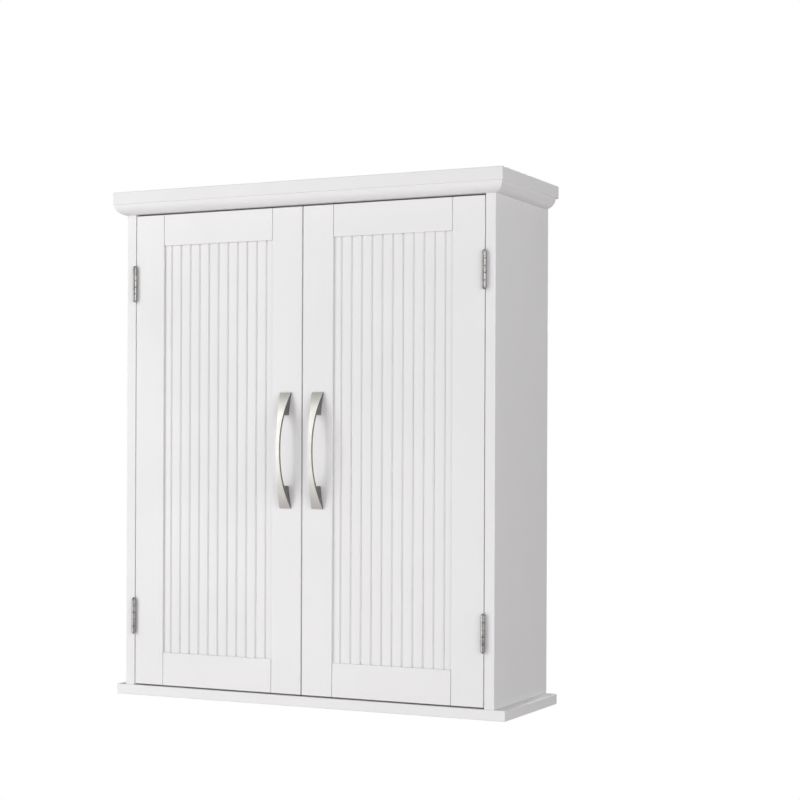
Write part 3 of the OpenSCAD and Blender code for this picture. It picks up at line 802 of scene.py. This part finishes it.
def rail(level):
    piece = board(f"{level}_rail_board", f"hanging_rail_{level}", INNER_EDGE)
    start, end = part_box(f"hanging_rail_{level}")
    for x, z in fixing_places():
        if start.z < z < end.z:
            cut_away(piece, drill((x, end.y, z), -Y, FIXING_RADIUS, end.y - start.y + MM))
    smooth(piece)
    return finish_piece(piece, PAINT, [f"hanging_rail_{level}"], "carcass")


def back_board():
    """Hardboard: bare at the back and painted on the face that shows inside."""
    piece = board("back_hardboard", "back_panel", BACK_EDGE)
    start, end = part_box("back_panel")
    for x, z in fixing_places():
        cut_away(piece, drill((x, end.y, z), -Y, FIXING_RADIUS, end.y - start.y + MM))
    for x, z in nail_places():
        cut_away(piece, drill((x, end.y, z), -Y, NAIL_HEAD + FIT, NAIL_HEAD_THICK, sides=20))
    smooth(piece)
    finish_piece(piece, [HARDBOARD, PAINT], ["back_panel"], "carcass")
    for face in piece.data.polygons:
        face.material_index = 1 if face.normal.y < -FACES_FRONT else 0
    return piece


def shelf_board():
    piece = board("shelf_board", "shelf", SHELF_EDGE)
    smooth(piece)
    return finish_piece(piece, PAINT, ["shelf"], "shelf")


def slice_across(piece, places, normal):
    """Cuts loops round a piece at several places along a direction."""
    for place in places:
        pick(piece, verts=lambda vert: True)
        bpy.ops.mesh.bisect(plane_co=place, plane_no=normal)
        leave_edit()


def cut_off(piece, place, normal):
    """Cuts a piece at a plane, closes it, and removes what lies beyond."""
    pick(piece, verts=lambda vert: True)
    bpy.ops.mesh.bisect(plane_co=place, plane_no=normal, use_fill=True, clear_outer=True)
    leave_edit()


def moulding(name, design, outward):
    """A convex moulding: a blank sliced in its height, whose outer face is moved onto the arc."""
    start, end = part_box(design)
    piece = block(name, start, end)
    flat = MM if outward.y else 0
    carcass = Vector((abs(high("side_panel_right").x), FRONT, 0))
    stand_out = abs(high("crown_moulding_right").x) - carcass.x
    height = end.z - start.z
    radius = (stand_out**2 + height**2) / (2 * stand_out)
    sweep = math.asin(min(height / radius, 1))
    turns = [sweep * i / 14 for i in range(1, 14)]
    slice_across(piece, [Z * (end.z - radius * math.sin(turn)) for turn in turns], Z)
    for vert in piece.data.vertices:
        drop = end.z - vert.co.z
        reach = stand_out - radius + math.sqrt(max(radius**2 - drop**2, 0))
        if outward.y and vert.co.y < FRONT - flat:
            vert.co.y = FRONT - max(reach, 0)
        elif outward.x and abs(vert.co.x) > carcass.x + MM:
            vert.co.x = outward.x * (carcass.x + max(reach, 0))
    if outward.y:
        for sign in (-1, 1):
            cut_off(piece, (sign * carcass.x, FRONT, 0), Vector((sign, 1, 0)))
    else:
        cut_off(piece, (outward.x * carcass.x, FRONT, 0), Vector((-outward.x, -1, 0)))
    pick(piece, verts=lambda vert: True)
    bpy.ops.mesh.remove_doubles(threshold=SAME_CORNER)
    bpy.ops.mesh.normals_make_consistent(inside=False)
    leave_edit()
    smooth(piece, 25)
    return finish_piece(piece, PAINT, [design], "carcass")


def build_carcass():
    for side in SIDES:
        side_board(side)
    base()
    crown()
    ceiling()
    for level in ("upper", "lower"):
        rail(level)
    back_board()
    shelf_board()
    moulding("moulding_front", "crown_moulding_front", -Y)
    moulding("moulding_left", "crown_moulding_left", -X)
    moulding("moulding_right", "crown_moulding_right", X)


# ---------------------------------------------------------------- doors


def stile_groove(side):
    """A cutter for the grooves along both stiles, a little open in front of the panel."""
    start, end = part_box(f"{side}_bead_panel")
    stile_low, stile_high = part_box(f"{side}_lock_stile")
    play = TONGUE - PANEL_LAP
    near = (start.x - play, start.y - PANEL_SLACK, stile_low.z - MM)
    return block("groove", near, (end.x + play, end.y, stile_high.z + MM))


def hinge_stile(side):
    piece = board(f"{side}_stile_hinge_side", f"{side}_hinge_stile", JOINT_EDGE)
    cut_away(piece, stile_groove(side))
    for level in ("upper", "lower"):
        cut_away(piece, leaf_seat(side, level, -1))
    smooth(piece)
    return finish_piece(piece, PAINT, [f"{side}_hinge_stile"], f"{side}_door")


def lock_stile(side):
    piece = board(f"{side}_stile_lock_side", f"{side}_lock_stile", JOINT_EDGE)
    cut_away(piece, stile_groove(side))
    smooth(piece)
    return finish_piece(piece, PAINT, [f"{side}_lock_stile"], f"{side}_door")


def door_rail(side, level):
    """The visible rail between the stiles, welded to the tongue that enters their grooves."""
    design = f"{side}_{level}_rail"
    start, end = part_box(design)
    panel_low, panel_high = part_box(f"{side}_bead_panel")
    inset = X * (TONGUE + SHOULDER_GAP)
    piece = block(f"{side}_rail_{level}", start + inset, end - inset)
    round_edges(piece, JOINT_EDGE)
    add_on(piece, block("tongue", (start.x, panel_low.y, start.z), (end.x, panel_high.y, end.z)))
    reach = 2 * TONGUE
    if level == "top":
        groove = (panel_low.z, start.z + TONGUE)
    else:
        groove = (end.z - TONGUE, panel_high.z)
    near = (start.x - reach, panel_low.y, groove[0])
    cut_away(piece, block("groove", near, (end.x + reach, panel_high.y, groove[1])))
    smooth(piece)
    return finish_piece(piece, PAINT, [design], f"{side}_door")


def bead_panel(side):
    """A board sliced at every bead, whose middle lines are pushed back into grooves."""
    design = f"{side}_bead_panel"
    start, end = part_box(design)
    piece = block(f"{side}_panel_beaded", start, end)
    centre = (start.x + end.x) / 2
    half = BEAD_WIDTH / 2
    lines = [centre + i * BEAD_PITCH for i in range(-BEADS_EACH_SIDE, BEADS_EACH_SIDE + 1)]
    slice_across(piece, [X * (line + shift) for line in lines for shift in (-half, 0, half)], X)
    near = SAME_PLACE

    def on_line(co, shift=0.0):
        return any(abs(co.x - line - shift) < near for line in lines) and abs(co.y - start.y) < near

    pick(piece, verts=lambda vert: on_line(vert.co))
    bpy.ops.transform.translate(value=(0, BEAD_DEPTH, 0))
    leave_edit()

    def is_bead_edge(edge):
        a, b = (vert.co for vert in edge.verts)
        upright = abs(a.x - b.x) < near and abs(a.z - b.z) > MM
        at_face = any(abs(abs(a.x - line) - half) < near for line in lines) and abs(a.y - start.y) < near
        at_root = any(abs(a.x - line) < near for line in lines) and abs(a.y - start.y - BEAD_DEPTH) < near
        return upright and (at_face or at_root)

    pick(piece, edges=is_bead_edge)
    bpy.ops.mesh.bevel(offset=BEAD_EDGE, segments=2, profile=0.5, affect="EDGES")
    leave_edit()
    smooth(piece, 60)
    return finish_piece(piece, PAINT, [design], f"{side}_door")


# ---------------------------------------------------------------- hinges


def hinge_leaf(design, side, level, towards, body):
    """A countersunk plate welded to every other knuckle of the barrel, with eased rims."""
    axis = hinge_axis(side, level)
    start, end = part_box(design)
    out = SIDES[side] * towards
    near = axis.x + out * HINGE_CLEAR / 2
    xs = sorted((near, near + out * LEAF_THICK))
    plate_y = axis.y + BARREL_RADIUS + HINGE_CLEAR
    pitch = (end.z - start.z + HINGE_CLEAR) / KNUCKLES
    first = 0 if towards > 0 else 1
    piece = block(f"{side}_{level}_leaf_{body}", (xs[0], plate_y, start.z), (xs[1], end.y, end.z))
    for index in range(first, KNUCKLES, 2):
        foot = start.z + index * pitch
        knuckle = rod("knuckle", (axis.x, axis.y, foot), Z, BARREL_RADIUS, pitch - HINGE_CLEAR, 40)
        round_edges(knuckle, KNUCKLE_EDGE)
        tab_end = (xs[1], plate_y + LEAF_WIDTH / 4, foot + pitch - HINGE_CLEAR)
        add_on(piece, knuckle, block("tab", (xs[0], axis.y, foot), tab_end))
    cut_away(piece, drill((axis.x, axis.y, start.z), Z, PIN_BORE, end.z - start.z + MM))
    for sign in (-1, 1):
        seat = (near, plate_y + LEAF_WIDTH / 2, axis.z + sign * LEAF_SCREW_PLACE * (end.z - start.z))
        cut_away(piece, screw_seat(seat, X * out, LEAF_SCREW_HEAD, LEAF_SCREW_RADIUS))
    smooth(piece, 35)
    return finish_piece(piece, POLISHED_NICKEL, [design], body)


def hinge_pin(side, level):
    """A plain pin between two pointed caps that stand on the ends of the barrel."""
    design = f"hinge_pin_{side}_{level}"
    axis = hinge_axis(side, level)
    leaf_low, leaf_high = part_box(f"frame_leaf_{side}_{level}")
    start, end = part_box(design)
    tall = end.z - leaf_high.z
    wide = (end.x - start.x) / 2
    run_in = tall * PIN_RUN_IN
    foot = (axis.x, axis.y, leaf_low.z - run_in)
    length = leaf_high.z - leaf_low.z + 2 * run_in
    piece = rod(f"{side}_{level}_pin", foot, Z, HINGE_PIN_RADIUS, length)
    collar_tall = tall * CAP_COLLAR
    for foot, way in ((leaf_high.z, 1), (leaf_low.z, -1)):
        collar = rod("collar", (axis.x, axis.y, foot), Z * way, wide, collar_tall, 40)
        shoulder = (axis.x, axis.y, foot + way * collar_tall)
        point = rod("point", shoulder, Z * way, wide, tall - collar_tall, 40, wide * CAP_TIP)
        add_on(collar, point)
        round_edges(collar, KNUCKLE_EDGE / 2, 2, sharp=20)
        add_on(piece, collar)
    smooth(piece, 35)
    return finish_piece(piece, POLISHED_NICKEL, [design], "carcass")


def build_hinges():
    for side in SIDES:
        for level in ("upper", "lower"):
            hinge_leaf(f"frame_leaf_{side}_{level}", side, level, 1, "carcass")
            hinge_leaf(f"{side}_door_leaf_{level}", side, level, -1, f"{side}_door")
            hinge_pin(side, level)


# ---------------------------------------------------------------- handles


def handle(side):
    """A bow: a blank sliced in its length, shaped to the outer arc and the waist, then opened behind."""
    design = f"{side}_handle"
    start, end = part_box(design)
    centre = (start + end) / 2
    half = (end.z - start.z) / 2
    stand_out = end.y - start.y
    rise = stand_out - HANDLE_EDGE
    bow = (half**2 + rise**2) / (2 * rise)
    side_cut = (end.x - start.x - HANDLE_WAIST) / 2
    flare = HANDLE_TAPER - HANDLE_WAIST_LENGTH / 2
    side_bow = (flare**2 + side_cut**2) / (2 * side_cut)
    opening = half - HANDLE_FOOT
    levels = [opening * i / HANDLE_STEPS for i in range(1 - HANDLE_STEPS, HANDLE_STEPS)]
    foot_steps = HANDLE_STEPS // 2
    for sign in (-1, 1):
        levels += [sign * (opening + HANDLE_FOOT * i / foot_steps) for i in range(foot_steps)]

    def outer(height):
        return stand_out - bow + math.sqrt(bow**2 - height**2)

    def inner(height):
        return stand_out - bow + math.sqrt((bow - HANDLE_STRAP) ** 2 - height**2)

    def half_width(height):
        along = min(max(abs(height) - HANDLE_WAIST_LENGTH / 2, 0), flare)
        return HANDLE_WAIST / 2 + side_bow - math.sqrt(side_bow**2 - along**2)

    piece = block(f"{side}_bow_handle", start, end)
    slice_across(piece, [Z * (centre.z + level) for level in sorted(levels)], Z)
    for vert in piece.data.vertices:
        height = vert.co.z - centre.z
        vert.co.x = centre.x + math.copysign(half_width(height), vert.co.x - centre.x)
        if vert.co.y < centre.y:
            vert.co.y = end.y - outer(height)
    space_low = (start.x - MM, start.y, centre.z - opening)
    space = block("space", space_low, (end.x + MM, end.y + MM, centre.z + opening))
    between = [level for level in sorted(levels) if abs(level) < opening - SAME_PLACE]
    slice_across(space, [Z * (centre.z + level) for level in between], Z)
    for vert in space.data.vertices:
        if vert.co.y < centre.y:
            vert.co.y = end.y - inner(vert.co.z - centre.z)
    cut_away(piece, space)
    round_edges(piece, HANDLE_EDGE_ROUND, 3, sharp=35)
    smooth(piece, 50)
    finish_piece(piece, [SATIN_NICKEL, NICKEL_PAINTED_SHADE], [design], f"{side}_door")
    # Faces turned to the sides get the darker nickel copy: painted shade on the sides of the bow.
    for face in piece.data.polygons:
        face.material_index = 1 if abs(face.normal.x) > FACES_PAINTED_SHADE else 0
    return piece


def build_door(side):
    hinge_stile(side)
    lock_stile(side)
    for level in ("top", "bottom"):
        door_rail(side, level)
    bead_panel(side)
    handle(side)


# ---------------------------------------------------------------- light, floor and camera

FLOOR_DROP = 1.25
FLOOR_TONE = (0.74, 0.68, 0.70)
WORLD_SIDE = 0.42
WORLD_TOP = 0.2
CAMERA_PLACE = Vector((1.0079, -2.0678, 0.0069))
CAMERA_TURN = math.radians(26.68)
CAMERA_PITCH = math.radians(-0.03)
CAMERA_ROLL = math.radians(0.224)
CAMERA_LENS = 83.47
CAMERA_SHIFT = (0.0730, 0.0626)


def build_camera():
    data = bpy.data.cameras.new("camera")
    data.lens = CAMERA_LENS
    data.sensor_width = 36
    data.shift_x, data.shift_y = CAMERA_SHIFT
    camera = bpy.data.objects.new("camera", data)
    bpy.context.collection.objects.link(camera)
    turn = Matrix.Rotation(CAMERA_TURN, 4, "Z") @ Matrix.Rotation(math.pi / 2 + CAMERA_PITCH, 4, "X")
    camera.matrix_world = Matrix.Translation(CAMERA_PLACE) @ turn @ Matrix.Rotation(CAMERA_ROLL, 4, "Z")
    bpy.context.scene.camera = camera


def build_floor():
    """A floor that the camera sees as white, and that sends back some of the light that falls on it."""
    clear_selection()
    bpy.ops.mesh.primitive_plane_add(size=60, location=(0, 0, design_box[0].z - FLOOR_DROP))
    floor = bpy.context.object
    floor.name = "floor"
    material, shader = new_material("pale_floor", FLOOR_TONE, 0.7)
    tree = material.node_tree
    show_white_to_camera(tree, shader.outputs[0], "ShaderNodeEmission", "ShaderNodeOutputMaterial")
    floor.data.materials.append(material)


def show_white_to_camera(tree, lit, kind, output_kind):
    """Mixes a plain white shader for camera rays with the one that lights the cabinet."""
    seen = node(tree, kind, color=(1, 1, 1, 1), strength=1.0)
    path = tree.nodes.new("ShaderNodeLightPath")
    mix = tree.nodes.new("ShaderNodeMixShader")
    tree.links.new(path.outputs["Is Camera Ray"], mix.inputs["Fac"])
    tree.links.new(lit, mix.inputs[1])
    tree.links.new(seen.outputs[0], mix.inputs[2])
    made = next((old for old in tree.nodes if old.bl_idname == output_kind), None)
    output = made or tree.nodes.new(output_kind)
    tree.links.new(mix.outputs[0], output.inputs["Surface"])


def build_world():
    """White to the camera, and soft light for everything else, graded from the horizon upwards."""
    world = bpy.data.worlds.new("studio")
    bpy.context.scene.world = world
    world.use_nodes = True
    tree = world.node_tree
    tree.nodes.clear()
    coords = tree.nodes.new("ShaderNodeTexCoord")
    parts = node(tree, "ShaderNodeSeparateXYZ", [("Vector", coords.outputs["Generated"])])
    rise = node(tree, "ShaderNodeMapRange", [("Value", parts.outputs["Z"])])
    rise.inputs["From Min"].default_value = 0.0
    rise.inputs["From Max"].default_value = 0.9
    rise.inputs["To Min"].default_value = WORLD_SIDE
    rise.inputs["To Max"].default_value = WORLD_TOP
    lit = node(tree, "ShaderNodeBackground", [("Strength", rise.outputs["Result"])], color=(1, 1, 1, 1))
    show_white_to_camera(tree, lit.outputs[0], "ShaderNodeBackground", "ShaderNodeOutputWorld")


def soft_box(name, place, aim, size, power):
    data = bpy.data.lights.new(name, "AREA")
    data.shape = "RECTANGLE"
    data.size, data.size_y = size
    data.energy = power
    light = bpy.data.objects.new(name, data)
    bpy.context.collection.objects.link(light)
    light.location = place
    light.rotation_euler = (Vector(aim) - Vector(place)).to_track_quat("-Z", "Y").to_euler()


def build_light():
    """Soft boxes round a dim studio. Each row gives a place, what it aims at, its size and its power."""
    build_world()
    soft_box("left_tall_box", (-1.5, -1.8, 0.6), (0, -0.1, 0), (1.2, 2.8), 27.8)
    soft_box("right_box", (1.7, -1.5, 0.3), (0.2, -0.1, 0), (1.0, 1.2), 13.4)
    soft_box("side_box", (3.2, -0.6, 0.4), (0, -0.1, 0), (2.0, 2.0), 12.5)
    soft_box("low_box", (-0.6, -1.8, -1.1), (0, -0.1, 0), (2.6, 1.8), 13.2)
    soft_box("back_box", (0, 2.6, 0.7), (0, 0, 0), (0.4, 2.0), 28.0)


# ---------------------------------------------------------------- the whole cabinet

dress_design_nodes()
build_carcass()
for door_side in SIDES:
    build_door(door_side)
build_hinges()
build_floor()
build_light()
build_camera()
bpy.context.scene.view_settings.view_transform = "Standard"
